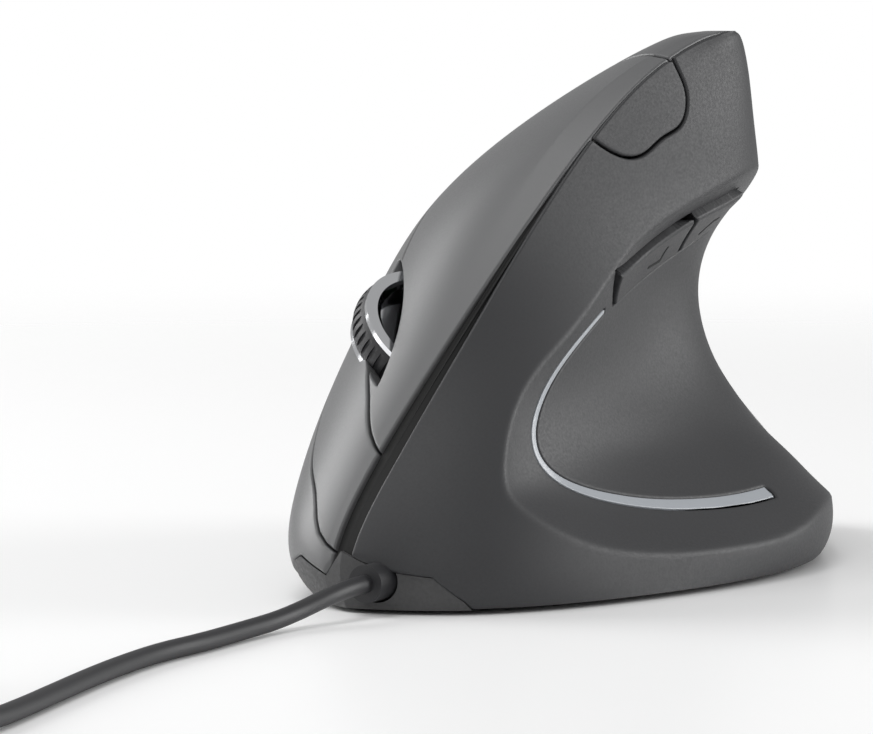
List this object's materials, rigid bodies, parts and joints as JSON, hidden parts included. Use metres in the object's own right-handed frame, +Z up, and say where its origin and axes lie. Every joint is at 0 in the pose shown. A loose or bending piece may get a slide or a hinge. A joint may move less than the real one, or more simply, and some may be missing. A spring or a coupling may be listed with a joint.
{
  "type": "vertical ergonomic mouse",
  "caption": "Tall upright computer mouse held as in a handshake, with a thumb scoop, two finger buttons, a ribbed scroll wheel, side buttons and a coiled lead.",
  "frame": {"origin": "on the floor under the middle of the mouse's bounding box, without its free cord", "axes": "+Z up, +Y from the nose towards the wrist, +X towards the thumb side"},
  "size_m": [0.0677, 0.2664, 0.0752],
  "materials": {
    "shell_charcoal": "matte, soft touch",
    "shell_grey": "satin",
    "base_grey": "fine texture",
    "glide_pad": "smooth",
    "light_strip": "satin",
    "inner_plastic": "moulded",
    "steel": "turned",
    "screw_steel": "zinc plated",
    "board_green": "solder mask",
    "component_black": "moulded",
    "switch_body": "moulded",
    "clear_lens": "clear",
    "led_lens": "clear red",
    "connector_white": "moulded",
    "capacitor_case": "sleeved",
    "tyre_rubber": "ribbed",
    "rim_chrome": "polished",
    "cord_jacket": "matte",
    "plug_black": "moulded",
    "plug_steel": "plated"
  },
  "bodies": {
    "base": {"base_plate": "base_grey", "feet": "glide_pad", "left_cover": "shell_charcoal", "palm_cover": "shell_grey", "accent_strip": "light_strip", "inner_frame": "inner_plastic", "index_hinge_pin": "steel", "middle_hinge_pin": "steel", "button_board": "board_green", "frame_screws": "screw_steel", "index_switch": "switch_body", "middle_switch": "switch_body", "wheel_switch": "switch_body", "wheel_spring": "steel", "main_board": "board_green", "board_screws": "screw_steel", "base_screws": "screw_steel", "sensor_chip": "component_black", "controller_chip": "component_black", "board_connector": "connector_white", "sensor_lens": "clear_lens", "tracking_led": "led_lens", "board_capacitor": "capacitor_case", "side_board": "board_green", "dpi_board": "board_green", "forward_switch": "switch_body", "back_switch": "switch_body", "dpi_switch": "switch_body", "strain_relief": "cord_jacket", "cable_lead": "cord_jacket", "cord": "cord_jacket", "cord_coil": "cord_jacket", "cord_tie": "plug_black", "usb_overmould": "plug_black", "usb_shell": "plug_steel", "usb_tongue": "connector_white"},
    "index_key": {"index_button": "shell_grey"},
    "middle_key": {"middle_button": "shell_grey"},
    "dpi_key": {"dpi_button": "shell_charcoal"},
    "forward_key": {"forward_button": "shell_charcoal"},
    "back_key": {"back_button": "shell_charcoal"},
    "wheel_carrier": {"wheel_cradle": "inner_plastic", "wheel_encoder": "component_black"},
    "wheel": {"wheel_tyre": "tyre_rubber", "wheel_rims": "rim_chrome", "wheel_axle": "steel"}
  },
  "joints": [
    {"name": "index_press", "type": "hinge", "parent": "base", "child": "index_key", "pos_m": [0.00181, 0.00752, 0.06184], "axis": [0.7071, -0.7071, 0], "range_deg": [0, 0.65], "stiffness_Nm_per_rad": 3, "springref_deg": -1.15},
    {"name": "middle_press", "type": "hinge", "parent": "base", "child": "middle_key", "pos_m": [-0.01288, 0.01406, 0.04941], "axis": [0.8089, -0.0421, 0.5864], "range_deg": [0, 0.72], "stiffness_Nm_per_rad": 3, "springref_deg": -1.15},
    {"name": "dpi_press", "type": "slide", "parent": "base", "child": "dpi_key", "axis": [-1, 0, 0], "range_m": [0, 0.0002], "stiffness_N_per_m": 800, "springref_m": -0.0003},
    {"name": "forward_press", "type": "slide", "parent": "base", "child": "forward_key", "axis": [-1, 0, 0], "range_m": [0, 0.0003], "stiffness_N_per_m": 800, "springref_m": -0.0003},
    {"name": "back_press", "type": "slide", "parent": "base", "child": "back_key", "axis": [-1, 0, 0], "range_m": [0, 0.0003], "stiffness_N_per_m": 800, "springref_m": -0.0003},
    {"name": "wheel_press", "type": "slide", "parent": "base", "child": "wheel_carrier", "axis": [0.7088, 0.5858, -0.3929], "range_m": [0, 0.0004], "stiffness_N_per_m": 1500, "springref_m": -0.0003},
    {"name": "wheel_spin", "type": "hinge", "parent": "wheel_carrier", "child": "wheel", "pos_m": [-0.00783, -0.02772, 0.03339], "axis": [0.6321, -0.281, 0.7221], "continuous": true}
  ]
}
